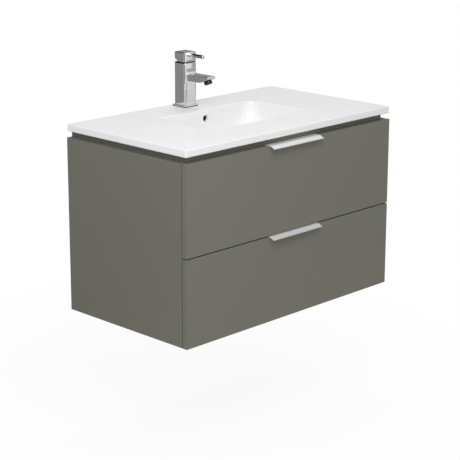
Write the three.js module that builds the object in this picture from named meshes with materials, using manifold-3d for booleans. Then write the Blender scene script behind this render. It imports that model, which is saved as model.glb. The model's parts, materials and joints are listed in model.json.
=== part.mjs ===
// Wall-hung bathroom vanity: two full-width drawers, an inset ceramic basin and a square mono mixer.
// Millimetres. +X is the user's right, -Y the front, +Z up.
// The origin is the middle of the wall rail's back face, where the cabinet hangs on the wall.

import * as THREE from 'three';
import { mergeVertices } from 'three/addons/utils/BufferGeometryUtils.js';
import Module from 'manifold-3d';

const wasm = await Module();
wasm.setup();

// ---------------------------------------------------------------- driving dimensions

// Cabinet. Heights are counted from the underside of the cabinet, depths from the wall.
const width = 800;
const depth = 458; // wall to the face of the drawer fronts
const carcassHeight = 483.5;
const sideThickness = 18;
const boardThickness = 16;
const edgeRound = 1;
const wallRecess = 12; // the back rails stand this far off the wall

const frontThickness = 16;
const frontStandoff = 2; // air between a closed front and the carcass
const frontGap = 3; // between the two fronts
const lowerFrontHeight = 237.5;

const stretcherDepth = 78;
const stretcherSetback = 4; // keeps the stretcher clear of the handle screws
const backRailHeight = 100;
const neckHeight = 17;
const neckThickness = 16;

// Hanging fittings
const hangDrop = 53.5; // top of the cabinet down to the rail's centre line
const railSheet = 2;
const railDrop = 20; // rail below its centre line
const railFlat = 8; // flat against the wall above the centre line
const railLip = 24; // rail above its centre line
const railJog = 6; // how far the lip stands off the wall
const railSlotLength = 24;
const railSlotHeight = 7;
const hookThickness = 3;
const hookWidth = 16;
const hookHold = 20; // arm inside the housing
const housingWall = 3;
const hangerHeight = 46;
const hangerLength = 44;
const adjusterRadius = 3.5;
const notchClearance = 3;

// Flat-pack joints
const camRadius = 7.5;
const camSlot = 1.6; // driver slot, and twice the groove round the cam
const camGroove = 1; // depth of both
const camInset = 34; // cam centre to the end of its board
const camMargin = 24; // cam centre to the long edge of its board

// Drawers and their runners
const runnerSpace = 12.5; // side panel to drawer side
const runnerHeight = 43;
const runnerSheet = 1.25;
const runnerGap = 0.5; // running gap between two members
const runnerRise = 50; // underside of the drawer box to the runner's centre
const drawerBoard = 12;
const drawerBottom = 8;
const grooveDepth = 6;
const grooveHeight = 6; // below the drawer bottom
const drawerBackGap = 14; // drawer back to the back rails
const boxAboveFront = 21.5; // upper box above the lower edge of its front
const boxAbovePanel = 6; // lower box above the bottom panel
const boxBelowFront = 63.5; // lower box below the top edge of its front
const boxBelowBowl = 12; // upper box below the bowl
const trapSpaceWidth = 200;
const trapSpaceFront = 75; // waste centre to the front of the trap space
const guardWall = 5;
const guardCorner = 40;

// Edge-pull handles
const handleLength = 195;
const handleSheet = 1.5;
const handleFlange = 15;
const handleReach = 18.5;
const handleDrop = 6.5;

// Basin
const slabThickness = 19.5;
const slabInset = 1; // behind the cabinet's faces, at the front and both ends
const slabRound = 3;
const slabBand = 45; // full-thickness band that sits on the neck
const slabRearBand = 15;
const deckThickness = 12.5;
const bowlWidth = 372;
const bowlFront = 125; // front face to the bowl
const bowlRear = 120; // bowl to the wall, which leaves room for the tap
const bowlDepth = 115;
const bowlCorner = 30;
const bowlCornerGrowth = 0.7; // radius that a corner gains with each millimetre down
const bowlLip = 4;
const bowlDraft = 3;
const bowlCurveWidth = 56; // wall and floor are one sweep, this far across
const bowlCurveHeight = 98; // and this far down
const bowlFall = 3; // slope of the floor towards the waste
const bowlWall = 8;
const overflowRadius = 9;
const overflowDrop = 25; // below the deck
const ductWidth = 30;
const ductThickness = 10;
const ductWall = 6;

// Waste
const wasteFlangeRadius = 32;
const wasteFlangeThickness = 2.5;
const wasteTubeRadius = 21;
const wasteTubeWall = 2.5;
const wasteTubeLength = 78;
const wasteHoleRadius = 22.5;
const wasteBossDepth = 24;
const wasteNutRadius = 31;
const wasteNutHeight = 12;
const wasteSealHeight = 3;
const wasteBar = 5; // bar across the tube that guides the plug's stem
const wasteSlot = 4; // half the size of the slots that let the overflow in
const plugStemRadius = 4;
const plugStemLength = 44;
const plugDome = 4;

// Mixer tap
const tapFromWall = 42;
const tapWidth = 45;
const tapPlateWidth = 52;
const tapPlateThickness = 5;
const tapColumnHeight = 120;
const tapRound = 1.5;
const spoutWidth = 31;
const spoutReach = 81.5; // column to the tip
const spoutTop = 90; // above the foot plate
const spoutDepth = 19.5;
const spoutTip = 7; // thickness at the tip
const spoutSlant = 30; // length of the slanted underside
const spoutFillet = 5;
const aeratorRadius = 11.5;
const aeratorLength = 10;
const headGap = 3; // seam between column and head
const headHeight = 27;
const headHeelLength = 15;
const headHeelHeight = 10;
const headPocketRadius = 13;
const headPocketDepth = 12;
const cartridgeRadius = 14.7;
const cartridgeDepth = 15;
const cartridgeDomeRadius = 10.5;
const stemRadius = 4;
const stemHeight = 9;
const pivotRadius = 2.5;
const pivotAboveSeam = 2; // lever axis above the head's underside
const leverRadius = 5.25;
const leverLength = 50;
const leverHeight = 18; // axis above the head's underside
const leverCollarRadius = 6.5;
const leverCollarLength = 3;
const shankRadius = 16;
const shankHoleRadius = 17.5;
const studRadius = 4;
const studLength = 45;
const tapWasherRadius = 24;
const tapWasherThickness = 3;
const tapPlateSheet = 2;
const tapNutRadius = 8;
const tapNutHeight = 6;

// Fits
const clearance = 0.3; // all round a piece set into another
const bite = 1; // how far a cutter runs past the face it opens

// ---------------------------------------------------------------- derived places

const halfWidth = width / 2;
const innerHalf = halfWidth - sideThickness;
const frontFace = -depth;
const frontBack = frontFace + frontThickness;
const carcassFront = frontBack + frontStandoff;
const backRailFront = -wallRecess - boardThickness;
const neckTop = carcassHeight + neckHeight;
const slabTop = neckTop + slabThickness;
const deckUnderside = slabTop - deckThickness;
const drawerHalf = innerHalf - runnerSpace;
const drawerFrontEnd = frontBack;
const drawerBackEnd = backRailFront - drawerBackGap;
const innerFrontDepths = [drawerFrontEnd, drawerFrontEnd + drawerBoard];
const drawerBackDepths = [drawerBackEnd - drawerBoard, drawerBackEnd];

const hangHeight = carcassHeight - hangDrop;
const hookTop = hangHeight + railLip + clearance + hookThickness;
const hookBottom = hookTop - hookThickness - (railLip - railFlat - railJog) / 2;

const bowlLength = depth - bowlFront - bowlRear;
const bowlCentre = frontFace + bowlFront + bowlLength / 2;
const bowlFloor = slabTop - bowlDepth - bowlFall;
const bossBottom = bowlFloor - wasteBossDepth;
const trapSpaceStart = bowlCentre - trapSpaceFront;

const upperDrawer = {
  name: 'drawer_upper',
  boxBottom: lowerFrontHeight + frontGap + boxAboveFront,
  boxTop: bowlFloor - bowlWall - boxBelowBowl,
};
const lowerDrawer = {
  name: 'drawer_lower',
  boxBottom: sideThickness + boxAbovePanel,
  boxTop: lowerFrontHeight - boxBelowFront,
};

const tapCentre = -tapFromWall;
const footTop = slabTop + tapPlateThickness;
const columnTop = footTop + tapColumnHeight;
const headBottom = columnTop + headGap;
const pivotHeight = headBottom + pivotAboveSeam;

const sides = [['left', -1], ['right', 1]];

// ---------------------------------------------------------------- materials

function standard(color, roughness, metalness) {
  return new THREE.MeshStandardMaterial({ color, roughness, metalness });
}

const paint = () => standard(0x6f6f65, 0.55, 0);
const melamine = () => standard(0xc9c7c0, 0.6, 0);
const ceramic = () => standard(0xf0f0ee, 0.08, 0);
const chrome = () => standard(0xd8dadc, 0.06, 1);
const satinAluminium = () => standard(0xc9cacb, 0.35, 1);
const zincSteel = () => standard(0xa9adb0, 0.4, 1);
const brass = () => standard(0xb59a5b, 0.35, 1);
const darkPlastic = () => standard(0x2b2b2c, 0.5, 0);
const rubber = () => standard(0x1e1e1e, 0.8, 0);

// ---------------------------------------------------------------- solids

function solidOf(geometry) {
  const bare = geometry.clone();
  bare.deleteAttribute('normal');
  bare.deleteAttribute('uv');
  const welded = mergeVertices(bare, 1e-4);
  const mesh = new wasm.Mesh({
    numProp: 3,
    vertProperties: new Float32Array(welded.attributes.position.array),
    triVerts: new Uint32Array(welded.index.array),
  });
  return new wasm.Manifold(mesh);
}

function geometryOf(solid) {
  const mesh = solid.getMesh();
  const geometry = new THREE.BufferGeometry();
  geometry.setAttribute('position', new THREE.BufferAttribute(new Float32Array(mesh.vertProperties), 3));
  geometry.setIndex(new THREE.BufferAttribute(new Uint32Array(mesh.triVerts), 1));
  geometry.computeVertexNormals();
  return geometry;
}

function join(...geometries) {
  return geometryOf(geometries.map(solidOf).reduce((whole, next) => whole.add(next)));
}

function cut(geometry, ...cutters) {
  return geometryOf(cutters.map(solidOf).reduce((whole, next) => whole.subtract(next), solidOf(geometry)));
}

// A span between two distances from the middle, on the side that sign names
const span = (sign, near, far) => (sign < 0 ? [-far, -near] : [near, far]);

// A span of one half-length to each side of a middle
const about = (middle, half) => [middle - half, middle + half];

function block([x0, x1], [y0, y1], [z0, z1]) {
  const box = new THREE.BoxGeometry(x1 - x0, y1 - y0, z1 - z0);
  return box.translate((x0 + x1) / 2, (y0 + y1) / 2, (z0 + z1) / 2);
}

function roundedOutline(halfX, halfY, radius) {
  const shape = new THREE.Shape();
  shape.moveTo(-halfX + radius, -halfY);
  shape.lineTo(halfX - radius, -halfY);
  shape.absarc(halfX - radius, -halfY + radius, radius, -Math.PI / 2, 0);
  shape.lineTo(halfX, halfY - radius);
  shape.absarc(halfX - radius, halfY - radius, radius, 0, Math.PI / 2);
  shape.lineTo(-halfX + radius, halfY);
  shape.absarc(-halfX + radius, halfY - radius, radius, Math.PI / 2, Math.PI);
  shape.lineTo(-halfX, -halfY + radius);
  shape.absarc(-halfX + radius, -halfY + radius, radius, Math.PI, 1.5 * Math.PI);
  return shape;
}

// A block with every edge rounded, segments facets to each quarter turn
function easedBlock([x0, x1], [y0, y1], [z0, z1], radius, segments = 1) {
  const corner = 1.5 * radius; // the upright corners keep some of their round at both ends
  const outline = roundedOutline((x1 - x0) / 2, (y1 - y0) / 2, corner);
  const body = new THREE.ExtrudeGeometry(outline, {
    depth: z1 - z0 - 2 * radius,
    curveSegments: segments,
    bevelThickness: radius,
    bevelSize: radius,
    bevelOffset: -radius,
    bevelSegments: segments,
  });
  return body.translate((x0 + x1) / 2, (y0 + y1) / 2, z0 + radius);
}

// A side-view outline, drawn with Y across and Z up, carried along X
function alongX(shape, [x0, x1], curveSegments = 6) {
  const body = new THREE.ExtrudeGeometry(shape, { depth: x1 - x0, bevelEnabled: false, curveSegments });
  const turn = new THREE.Matrix4().set(0, 0, 1, x0, 1, 0, 0, 0, 0, 1, 0, 0, 0, 0, 0, 1);
  return body.applyMatrix4(turn);
}

function outlineOf(points) {
  return new THREE.Shape(points.map(([across, up]) => new THREE.Vector2(across, up)));
}

function upright(radius, [z0, z1], [x, y], facets = 24) {
  const body = new THREE.CylinderGeometry(radius, radius, z1 - z0, facets);
  return body.rotateX(Math.PI / 2).translate(x, y, (z0 + z1) / 2);
}

function crosswise(radius, [x0, x1], [y, z], facets = 12) {
  const body = new THREE.CylinderGeometry(radius, radius, x1 - x0, facets);
  return body.rotateZ(Math.PI / 2).translate((x0 + x1) / 2, y, z);
}

function foreAndAft(radius, [y0, y1], [x, z], facets = 12) {
  const body = new THREE.CylinderGeometry(radius, radius, y1 - y0, facets);
  return body.translate(x, (y0 + y1) / 2, z);
}

// A turned piece about a vertical axis: [radius, height] pairs from the bottom, up the outside
function turned(profile, [x, y, z], facets = 24) {
  const points = profile.map(([radius, height]) => new THREE.Vector2(radius, height));
  return new THREE.LatheGeometry(points, facets).rotateX(Math.PI / 2).translate(x, y, z);
}

// A closed body through level rounded rectangles, listed from the bottom up
function loft(sections, cornerSteps = 6) {
  const positions = [];
  const indices = [];
  const count = 4 * (cornerSteps + 1);
  for (const { halfX, halfY, corner, height } of sections) {
    for (let quarter = 0; quarter < 4; quarter++) {
      const signX = quarter === 0 || quarter === 3 ? 1 : -1;
      const signY = quarter < 2 ? 1 : -1;
      for (let step = 0; step <= cornerSteps; step++) {
        const angle = (quarter + step / cornerSteps) * (Math.PI / 2);
        const x = signX * (halfX - corner) + corner * Math.cos(angle);
        const y = signY * (halfY - corner) + corner * Math.sin(angle);
        positions.push(x, y, height);
      }
    }
  }
  for (let ring = 0; ring + 1 < sections.length; ring++) {
    for (let i = 0; i < count; i++) {
      const a = ring * count + i;
      const b = ring * count + ((i + 1) % count);
      indices.push(a, b, b + count, a, b + count, a + count);
    }
  }
  const top = (sections.length - 1) * count;
  for (let i = 1; i + 1 < count; i++) {
    indices.push(0, i + 1, i);
    indices.push(top, top + i, top + i + 1);
  }
  const body = new THREE.BufferGeometry();
  body.setAttribute('position', new THREE.Float32BufferAttribute(positions, 3));
  body.setIndex(indices);
  return body;
}

const vanity = new THREE.Group();
const model = new THREE.Group();
model.position.z = -hangHeight;
vanity.add(model);

function add(name, geometry, material) {
  const mesh = new THREE.Mesh(geometry, material);
  mesh.name = name;
  model.add(mesh);
}

// ---------------------------------------------------------------- carcass

// A board between the side panels, with two cam locks let in near each end.
// The cams are one with their board here: a ring-shaped groove and a driver slot.
function boardWithCams(yRange, zRange, upwards, ...cutters) {
  const body = block([-innerHalf, innerHalf], yRange, zRange);
  const [low, high] = upwards ? yRange : zRange;
  for (const [, sign] of sides) {
    const x = sign * (innerHalf - camInset);
    for (const along of [low + camMargin, high - camMargin]) {
      cutters.push(...camFace(x, along, upwards ? zRange[0] : yRange[0], upwards));
    }
  }
  return cut(body, ...cutters);
}

function camFace(x, along, face, upwards) {
  const disc = (radius) => {
    const range = [face - bite, face + camGroove];
    return upwards ? upright(radius, range, [x, along], 12) : foreAndAft(radius, range, [x, along], 12);
  };
  const across = about(x, camRadius / 2);
  const thin = about(along, camSlot / 2);
  const deep = [face - bite, face + camGroove];
  const slot = upwards ? block(across, thin, deep) : block(across, deep, thin);
  return [cut(disc(camRadius), disc(camRadius - camSlot / 2)), slot];
}

function sidePanels() {
  for (const [side, sign] of sides) {
    const thickness = span(sign, innerHalf, halfWidth);
    const body = easedBlock(thickness, [carcassFront, 0], [0, carcassHeight], edgeRound);
    add(`side_panel_${side}`, body, paint());
  }
}

function carcassBoards() {
  const stretcherFront = carcassFront + stretcherSetback;
  const stretcher = [stretcherFront, stretcherFront + stretcherDepth];
  const stretcherHeights = [carcassHeight - boardThickness, carcassHeight];
  const backRange = [backRailFront, -wallRecess];
  const upperRail = [carcassHeight - backRailHeight, carcassHeight];
  const lowerRail = [sideThickness, sideThickness + backRailHeight];
  const notches = sides.map(([, sign]) => hookWay(sign, notchClearance));
  add('bottom_panel', boardWithCams([carcassFront, -wallRecess], [0, sideThickness], true), paint());
  add('top_stretcher', boardWithCams(stretcher, stretcherHeights, true), paint());
  add('back_rail_upper', boardWithCams(backRange, upperRail, false, ...notches), paint());
  add('back_rail_lower', boardWithCams(backRange, lowerRail, false), paint());
}

// Shadow-gap neck that lifts the basin clear of the drawer fronts
function neck() {
  const heights = [carcassHeight, neckTop];
  const behindFront = carcassFront + neckThickness;
  add('neck_front', block([-innerHalf, innerHalf], [carcassFront, behindFront], heights), paint());
  for (const [side, sign] of sides) {
    const body = block(span(sign, innerHalf - neckThickness, innerHalf), [behindFront, 0], heights);
    add(`neck_${side}`, body, paint());
  }
}

// ---------------------------------------------------------------- hanging on the wall

// Pressed rail screwed to the wall; its upper lip stands off the wall for the hooks
function wallRail() {
  const bend = railSheet * Math.tan(Math.PI / 8);
  const profile = outlineOf([
    [0, -railDrop],
    [0, railFlat],
    [-railJog, railFlat + railJog],
    [-railJog, railLip],
    [-railJog - railSheet, railLip],
    [-railJog - railSheet, railFlat + railJog - bend],
    [-railSheet, railFlat - bend],
    [-railSheet, -railDrop],
  ]);
  const reach = innerHalf - 2;
  const slots = [-0.85, -0.45, 0.45, 0.85].map((share) => {
    const x = share * reach;
    const z = -railDrop / 2;
    return block(about(x, railSlotLength / 2), [-railSheet - bite, bite], about(z, railSlotHeight / 2));
  });
  const body = cut(alongX(profile, [-reach, reach]), ...slots);
  add('wall_rail', body.translate(0, 0, hangHeight), zincSteel());
}

// The way of one hook over the rail's lip, grown all round by a margin
function hookWay(sign, margin) {
  const across = span(sign, innerHalf - hookWidth, innerHalf);
  const inner = sign > 0 ? [across[0] - margin, across[1]] : [across[0], across[1] + margin];
  return block(inner, [backRailFront - bite, bite], [hookBottom - margin, hookTop + margin]);
}

// Housing screwed inside the cabinet's top rear corner, and the hook in it that reaches over the rail
function hangers() {
  const housingBack = backRailFront - clearance;
  const housingFront = housingBack - hangerLength;
  const toothFront = -railJog + (railJog - hookThickness) / 2;
  const armEnd = toothFront + hookThickness;
  const armStart = housingBack - hookHold;
  for (const [side, sign] of sides) {
    const hookAcross = span(sign, innerHalf - hookWidth, innerHalf - housingWall);
    const arm = block(hookAcross, [armStart, armEnd], [hookTop - hookThickness, hookTop]);
    const tooth = block(hookAcross, [toothFront, armEnd], [hookBottom, hookTop]);
    add(`hanger_hook_${side}`, join(arm, tooth), zincSteel());

    const housingAcross = span(sign, innerHalf - hookWidth - housingWall, innerHalf);
    const heights = [hookTop + housingWall - hangerHeight, hookTop + housingWall];
    const housing = easedBlock(housingAcross, [housingFront, housingBack], heights, edgeRound);
    const slot = block(
      span(sign, innerHalf - hookWidth - clearance, innerHalf - housingWall + clearance),
      [armStart - clearance, housingBack + bite],
      [hookTop - hookThickness - clearance, hookTop + clearance],
    );
    const middle = sign * (innerHalf - (hookWidth + housingWall) / 2);
    const adjusters = [0.35, 0.7].map((share) => {
      const z = hookTop - hangerHeight * share;
      return foreAndAft(adjusterRadius, [housingFront - bite, housingFront + housingWall], [middle, z], 8);
    });
    add(`hanger_${side}`, cut(housing, slot, ...adjusters), zincSteel());
  }
}

// ---------------------------------------------------------------- runners

// One pressed channel with its web on the face named, and its lips towards the drawer or the side panel
function channel(sign, webFace, lipReach, halfHeight, centre, towardsDrawer) {
  const tipFace = towardsDrawer ? webFace - lipReach : webFace + lipReach;
  const far = Math.max(webFace, tipFace);
  const near = Math.min(webFace, tipFace);
  const length = [carcassFront, drawerBackEnd];
  const hollow = towardsDrawer
    ? span(sign, near - bite, far - runnerSheet)
    : span(sign, near + runnerSheet, far + bite);
  const whole = block(span(sign, near, far), length, about(centre, halfHeight));
  const inside = block(hollow, [length[0] - bite, length[1] + bite], about(centre, halfHeight - runnerSheet));
  return cut(whole, inside);
}

// Full-extension runners: three nested members to each side of a drawer
function runners({ name, boxBottom }) {
  const runnerCentre = boxBottom + runnerRise;
  const step = runnerSheet + runnerGap;
  const outerHalf = runnerHeight / 2;
  const innerReach = runnerSpace - 2 * step;
  const outerReach = runnerSpace - step / 2;
  for (const [side, sign] of sides) {
    const outer = channel(sign, innerHalf, outerReach, outerHalf, runnerCentre, true);
    const middle = channel(sign, innerHalf - step, innerReach, outerHalf - step, runnerCentre, true);
    const inner = channel(sign, drawerHalf, innerReach, outerHalf - 2 * step, runnerCentre, false);
    add(`${name}_runner_outer_${side}`, outer, zincSteel());
    add(`${name}_runner_middle_${side}`, middle, zincSteel());
    add(`${name}_runner_inner_${side}`, inner, zincSteel());
  }
}

// ---------------------------------------------------------------- drawers

function drawerFront(name, [z0, z1]) {
  const body = easedBlock([-halfWidth, halfWidth], [frontFace, frontBack], [z0, z1], edgeRound);
  add(`${name}_front`, body, paint());
}

// Folded aluminium pull: flange behind the front, plate over its top edge, ogee down to the lip
function handle(name, frontTop) {
  const profile = new THREE.Shape();
  const plateTop = handleSheet;
  const lipBottom = -handleDrop;
  const lipTop = lipBottom + handleSheet;
  const rear = frontThickness;
  const sCurve = handleReach / 2;
  profile.moveTo(rear, 0);
  profile.lineTo(rear, -handleFlange);
  profile.lineTo(rear + handleSheet, -handleFlange);
  profile.lineTo(rear + handleSheet, plateTop);
  profile.lineTo(0, plateTop);
  profile.bezierCurveTo(-sCurve, plateTop, -sCurve, lipTop, -handleReach, lipTop);
  profile.lineTo(-handleReach, lipBottom);
  profile.bezierCurveTo(-sCurve - handleSheet, lipBottom, -sCurve - handleSheet, 0, -handleSheet, 0);
  const body = alongX(profile, [-handleLength / 2, handleLength / 2], 8);
  add(`${name}_handle`, body.translate(0, frontFace, frontTop), satinAluminium());
}

function grooveFor({ boxBottom }, sign) {
  const floor = boxBottom + grooveHeight;
  return block(
    span(sign, drawerHalf - drawerBoard - bite, drawerHalf - drawerBoard + grooveDepth),
    [drawerFrontEnd - bite, drawerBackEnd + bite],
    [floor - clearance, floor + drawerBottom + clearance],
  );
}

function drawerSides(drawer) {
  const { name, boxBottom, boxTop } = drawer;
  for (const [side, sign] of sides) {
    const board = block(
      span(sign, drawerHalf - drawerBoard, drawerHalf),
      [drawerFrontEnd, drawerBackEnd],
      [boxBottom, boxTop],
    );
    add(`${name}_side_${side}`, cut(board, grooveFor(drawer, sign)), melamine());
  }
}

function drawerBottomBoard({ boxBottom }) {
  const reach = drawerHalf - drawerBoard + grooveDepth - clearance;
  const floor = boxBottom + grooveHeight;
  return block([-reach, reach], [drawerFrontEnd, drawerBackEnd], [floor, floor + drawerBottom]);
}

function lowerDrawerBox() {
  const { name, boxBottom, boxTop } = lowerDrawer;
  const inner = drawerHalf - drawerBoard;
  const floorTop = boxBottom + grooveHeight + drawerBottom;
  drawerSides(lowerDrawer);
  add(`${name}_bottom`, drawerBottomBoard(lowerDrawer), melamine());
  const heights = [floorTop, boxTop];
  add(`${name}_inner_front`, block([-inner, inner], innerFrontDepths, heights), melamine());
  add(`${name}_back`, block([-inner, inner], drawerBackDepths, heights), melamine());
}

// The upper box bends round the waste and trap, so its floor and back are open in the middle
function upperDrawerBox() {
  const { name, boxBottom, boxTop } = upperDrawer;
  const inner = drawerHalf - drawerBoard;
  const floorTop = boxBottom + grooveHeight + drawerBottom;
  const heights = [floorTop, boxTop];
  const half = trapSpaceWidth / 2;
  const trapSpace = guardColumn(trapLine(0, drawerBackEnd + bite), [boxBottom, floorTop + bite]);
  drawerSides(upperDrawer);
  add(`${name}_bottom`, cut(drawerBottomBoard(upperDrawer), trapSpace), melamine());
  add(`${name}_inner_front`, block([-inner, inner], innerFrontDepths, heights), melamine());
  add(`${name}_trap_guard`, trapGuard(heights), darkPlastic());
  for (const [side, sign] of sides) {
    const back = block(span(sign, half + guardWall, inner), drawerBackDepths, heights);
    add(`${name}_back_${side}`, back, melamine());
  }
}

// Plan of the trap space: a U open towards the wall, grown outwards by an offset
function trapLine(offset, openEnd) {
  const reach = trapSpaceWidth / 2 + offset;
  const corner = guardCorner + offset;
  const front = trapSpaceStart - offset;
  const shape = new THREE.Shape();
  shape.moveTo(reach, openEnd);
  shape.lineTo(-reach, openEnd);
  shape.lineTo(-reach, front + corner);
  shape.absarc(-reach + corner, front + corner, corner, Math.PI, 1.5 * Math.PI);
  shape.lineTo(reach - corner, front);
  shape.absarc(reach - corner, front + corner, corner, 1.5 * Math.PI, 2 * Math.PI);
  return shape;
}

function guardColumn(plan, [z0, z1]) {
  const options = { depth: z1 - z0, bevelEnabled: false, curveSegments: 5 };
  return new THREE.ExtrudeGeometry(plan, options).translate(0, 0, z0);
}

// Moulded wall round the trap space
function trapGuard([z0, z1]) {
  const outside = guardColumn(trapLine(guardWall, drawerBackEnd), [z0, z1]);
  const inside = guardColumn(trapLine(0, drawerBackEnd + bite), [z0 - bite, z1 + bite]);
  return cut(outside, inside);
}

// ---------------------------------------------------------------- basin

// Level sections of the bowl's inner face, or of its outer face when a wall thickness is given
function bowlSections(wall) {
  const outline = (inset, height) => {
    const halfY = bowlLength / 2 - inset + wall;
    const gain = bowlCornerGrowth * Math.max(deckUnderside - height, 0);
    const corner = Math.min(bowlCorner + wall + gain, halfY - 1);
    return { halfX: bowlWidth / 2 - inset + wall, halfY, corner, height };
  };
  const throat = wasteFlangeRadius + bowlLip + wall;
  const sections = [{ halfX: throat, halfY: throat, corner: throat - 1, height: bowlFloor - wall }];
  const curveSteps = 8;
  for (let i = 0; i <= curveSteps; i++) {
    const angle = (i / curveSteps) * (Math.PI / 2);
    const inset = bowlDraft + bowlCurveWidth * (1 - Math.sin(angle));
    const rise = bowlCurveHeight * (1 - Math.cos(angle));
    sections.push(outline(inset, slabTop - bowlDepth - wall + rise));
  }
  if (wall > 0) {
    sections.push(outline(0, slabTop - deckThickness / 2));
    return sections;
  }
  const lipSteps = 3;
  for (let i = 0; i <= lipSteps; i++) {
    const angle = (1 - i / lipSteps) * (Math.PI / 2);
    const inset = -bowlLip * (1 - Math.sin(angle));
    sections.push(outline(inset, slabTop - bowlLip * (1 - Math.cos(angle))));
  }
  sections.push(outline(-bowlLip, slabTop + bite));
  return sections;
}

function basin() {
  const slab = easedBlock(
    [-halfWidth + slabInset, halfWidth - slabInset],
    [frontFace + slabInset, 0],
    [neckTop, slabTop],
    slabRound,
    3,
  );
  const undercut = block(
    [-halfWidth + slabInset + slabBand, halfWidth - slabInset - slabBand],
    [frontFace + slabInset + slabBand, -slabRearBand],
    [neckTop - bite, deckUnderside],
  );
  const outer = loft(bowlSections(bowlWall)).translate(0, bowlCentre, 0);
  const inner = loft(bowlSections(0)).translate(0, bowlCentre, 0);

  // Overflow duct: down behind the bowl, then forward under its floor to the waste
  const bowlBack = bowlCentre + bowlLength / 2;
  const ductBack = bowlBack + bowlWall + ductThickness;
  const ductTop = slabTop - overflowDrop + overflowRadius;
  const shell = about(0, ductWidth / 2 + ductWall);
  const bore = about(0, ductWidth / 2);
  const ductFloor = bossBottom + ductWall;
  const casing = join(
    block(shell, [bowlBack - bowlCurveWidth, ductBack + ductWall], [bossBottom, deckUnderside + bite]),
    block(shell, [bowlCentre, ductBack], [bossBottom, bowlFloor - bowlWall + bite]),
    upright(wasteNutRadius + ductWall, [bossBottom, bowlFloor], [0, bowlCentre]),
  );
  const mouth = [bowlBack - 2 * bowlDraft - bite, ductBack - bite];
  const duct = join(
    block(bore, [ductBack - ductThickness, ductBack], [ductFloor, ductTop]),
    block(bore, [bowlCentre, ductBack], [ductFloor, ductFloor + ductThickness]),
    foreAndAft(overflowRadius, mouth, [0, slabTop - overflowDrop], 20),
  );
  const wasteHole = upright(wasteHoleRadius, [bossBottom - bite, bowlFloor + bowlLip], [0, bowlCentre]);
  const tapHole = upright(shankHoleRadius, [deckUnderside - bite, slabTop + bite], [0, tapCentre]);
  const body = cut(join(cut(slab, undercut), outer, casing), inner, duct, wasteHole, tapHole);
  add('basin', body, ceramic());
}

function waste() {
  const centre = [0, bowlCentre];
  const seat = bowlFloor;
  const bottom = seat - wasteTubeLength;
  const bore = wasteTubeRadius - wasteTubeWall;
  const flangeTop = seat + clearance + wasteFlangeThickness;
  const nutBottom = bossBottom - wasteSealHeight - wasteNutHeight;
  const tube = turned([
    [bore, bottom],
    [wasteTubeRadius, bottom],
    [wasteTubeRadius, seat + clearance],
    [wasteFlangeRadius, seat + clearance],
    [wasteFlangeRadius, flangeTop - 1],
    [wasteFlangeRadius - 1, flangeTop],
    [bore + 2, flangeTop],
    [bore, flangeTop - 2],
    [bore, bottom],
  ], [0, bowlCentre, 0]);
  const barHeight = bossBottom - wasteBar;
  const bar = block(about(0, bore + 1), about(bowlCentre, wasteBar / 2), about(barHeight, wasteBar / 2));
  const hub = upright(plugStemRadius + wasteTubeWall, about(barHeight, wasteBar), centre, 16);
  const guide = upright(plugStemRadius + clearance, about(barHeight, wasteBar + bite), centre, 16);
  const slotHeights = about(bossBottom + ductWall + ductThickness / 2, wasteSlot);
  const slots = [
    block(about(0, wasteHoleRadius), about(bowlCentre, wasteSlot), slotHeights),
    block(about(0, wasteSlot), about(bowlCentre, wasteHoleRadius), slotHeights),
  ];
  add('waste_body', cut(join(tube, bar, hub), guide, ...slots), chrome());

  const ring = (radius, [z0, z1], facets) => cut(
    upright(radius, [z0, z1], centre, facets),
    upright(wasteTubeRadius + clearance, [z0 - bite, z1 + bite], centre),
  );
  add('waste_seal', ring(wasteNutRadius, [bossBottom - wasteSealHeight, bossBottom], 24), rubber());
  add('waste_nut', ring(wasteNutRadius, [nutBottom, nutBottom + wasteNutHeight], 8), brass());

  const plugBottom = flangeTop + clearance;
  add('waste_plug', turned([
    [0, plugBottom - plugStemLength],
    [plugStemRadius, plugBottom - plugStemLength],
    [plugStemRadius, plugBottom],
    [wasteFlangeRadius - 1, plugBottom],
    [wasteFlangeRadius - 0.5, plugBottom + 1.5],
    [wasteFlangeRadius - 4, plugBottom + 3],
    [wasteFlangeRadius / 2, plugBottom + plugDome],
    [0, plugBottom + plugDome + 0.5],
  ], [0, bowlCentre, 0]), chrome());
}

// ---------------------------------------------------------------- mixer tap

function tapFoot() {
  const half = tapPlateWidth / 2;
  const plate = easedBlock(about(0, half), about(tapCentre, half), [slabTop, footTop], edgeRound);
  const hole = upright(shankRadius + clearance, [slabTop - bite, footTop + bite], [0, tapCentre]);
  add('tap_foot_plate', cut(plate, hole), chrome());
}

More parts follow.
